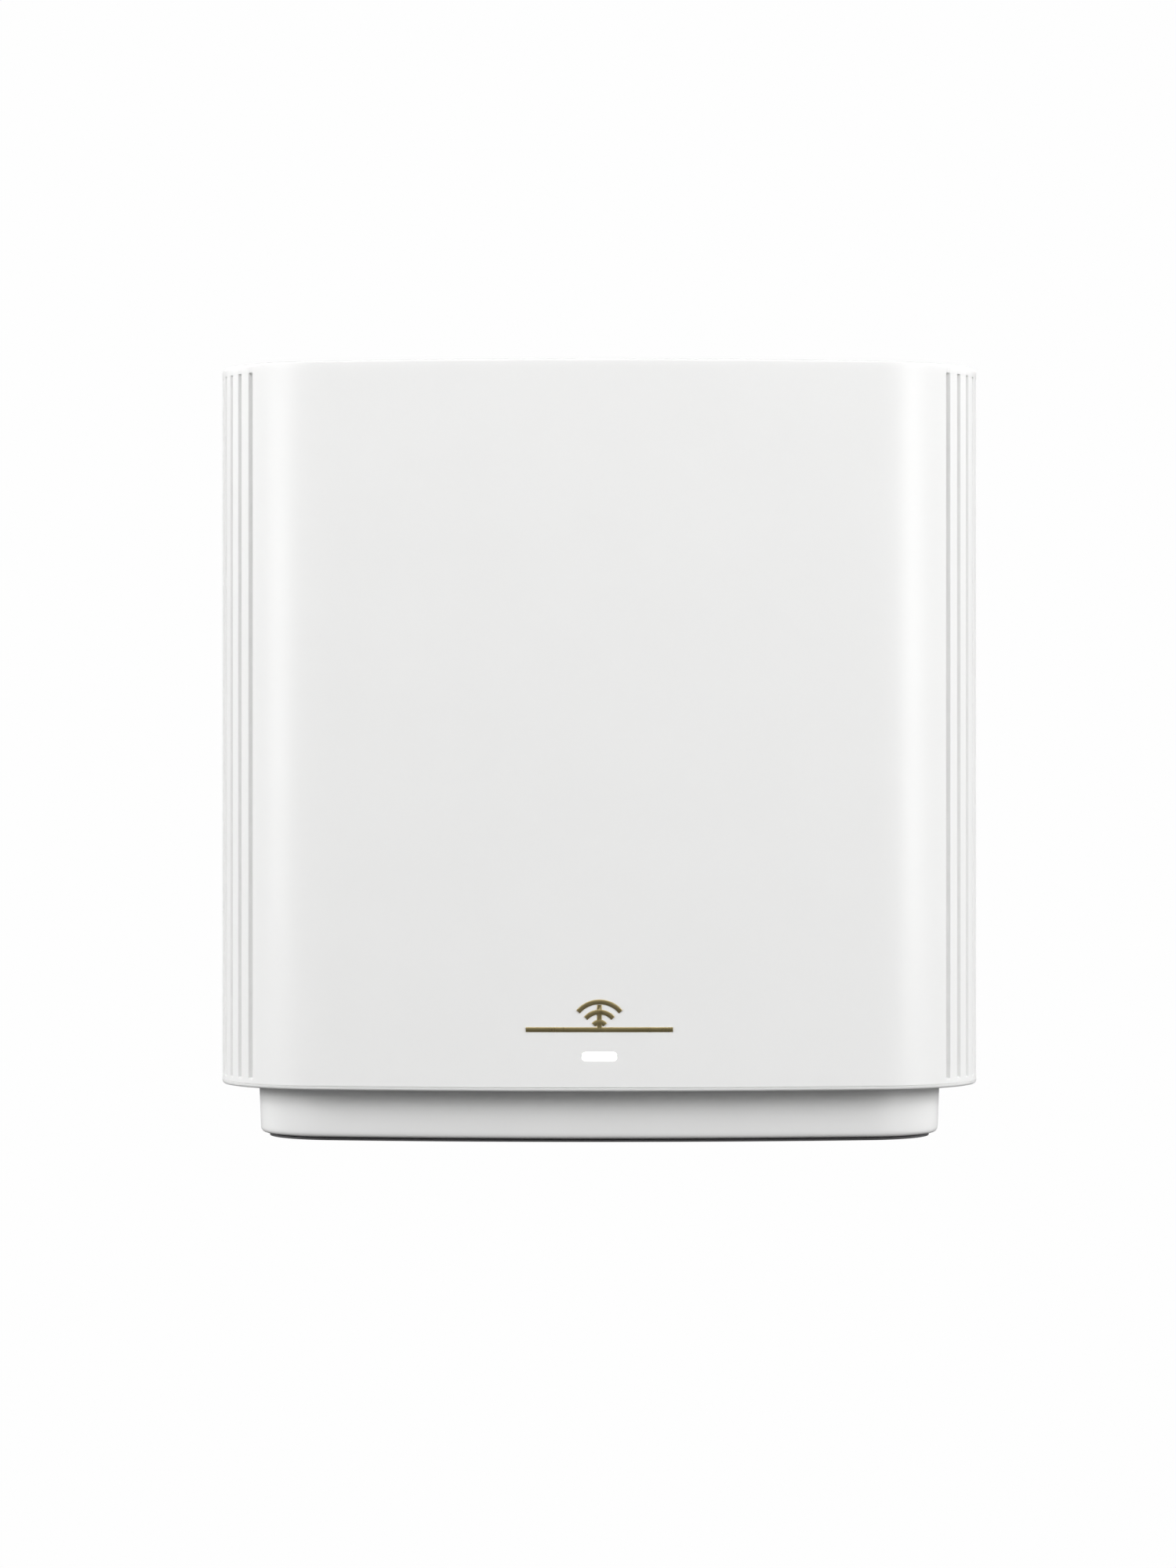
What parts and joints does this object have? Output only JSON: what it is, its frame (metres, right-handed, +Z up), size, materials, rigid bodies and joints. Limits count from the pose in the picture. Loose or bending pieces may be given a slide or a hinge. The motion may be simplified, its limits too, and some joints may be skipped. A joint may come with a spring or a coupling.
{
  "type": "wireless router",
  "caption": "Free-standing wireless router: shallow white housing with fluted ends on a set-back base, with network, USB and power sockets and buttons in its back.",
  "frame": {"origin": "middle of the underside of the rubber foot", "axes": "+Z up, -Y towards the front with the mark and the light, +X to the right when the front is looked at"},
  "size_m": [0.1598, 0.0751, 0.1615],
  "materials": {
    "shell": "satin white moulded plastic",
    "base": "fine matt white moulded plastic",
    "foot": "matt dark grey rubber",
    "badge": "satin champagne gold foil",
    "light": "lit white diffuser",
    "panel": "fine matt white moulded plastic",
    "button": "matt light grey plastic",
    "black": "matt black moulded plastic",
    "frame": "matt dark grey moulded plastic",
    "board": "green solder mask",
    "tin": "tinned steel sheet",
    "sink": "extruded aluminium",
    "pad": "soft grey-blue silicone",
    "gold": "gold-plated contacts",
    "wan": "blue moulded plastic",
    "steel": "zinc-plated steel",
    "cable": "black cable jacket"
  },
  "bodies": {
    "housing": {"outer_sleeve": "shell", "top_cover": "shell", "badge": "badge", "status_lens": "light", "status_led": "light", "light_board": "board", "light_lead": "cable", "base_plinth": "base", "base_plate": "base", "rubber_foot": "foot", "rear_panel": "panel", "wan_jack": "wan", "lan_jack_1": "black", "lan_jack_2": "black", "lan_jack_3": "black", "wan_contacts": "gold", "lan_contacts_1": "gold", "lan_contacts_2": "gold", "lan_contacts_3": "gold", "usb_shell": "tin", "usb_tongue": "wan", "dc_jack": "black", "dc_jack_pin": "gold", "power_switch": "black", "wps_switch": "black", "reset_switch": "black", "inner_frame": "frame", "main_board": "board", "processor_shield": "tin", "radio_shield_left": "tin", "radio_shield_right": "tin", "radio_pad_left": "pad", "radio_pad_right": "pad", "processor_pad": "pad", "heatsink_front": "sink", "heatsink_rear": "sink", "heatsink_screw_1": "steel", "heatsink_screw_2": "steel", "aerial_side_left": "board", "aerial_lead_side_left": "cable", "aerial_top_left": "board", "aerial_lead_top_left": "cable", "aerial_side_right": "board", "aerial_lead_side_right": "cable", "aerial_top_right": "board", "aerial_lead_top_right": "cable", "board_screw_1": "steel", "base_screw_1": "steel", "board_screw_2": "steel", "base_screw_2": "steel", "board_screw_3": "steel", "base_screw_3": "steel", "board_screw_4": "steel", "base_screw_4": "steel"},
    "power_button": {"power_button": "button", "power_plunger": "tin"},
    "wps_button": {"wps_button": "button", "wps_plunger": "button"},
    "reset_button": {"reset_plunger": "button"}
  },
  "joints": [
    {"name": "power_press", "type": "slide", "parent": "housing", "child": "power_button", "axis": [0, -1, 0], "range_m": [0, 0.002], "stiffness_N_per_m": 900},
    {"name": "wps_press", "type": "slide", "parent": "housing", "child": "wps_button", "axis": [0, -1, 0], "range_m": [0, 0.0004], "stiffness_N_per_m": 1500},
    {"name": "reset_press", "type": "slide", "parent": "housing", "child": "reset_button", "axis": [0, -1, 0], "range_m": [0, 0.0004], "stiffness_N_per_m": 1500}
  ]
}
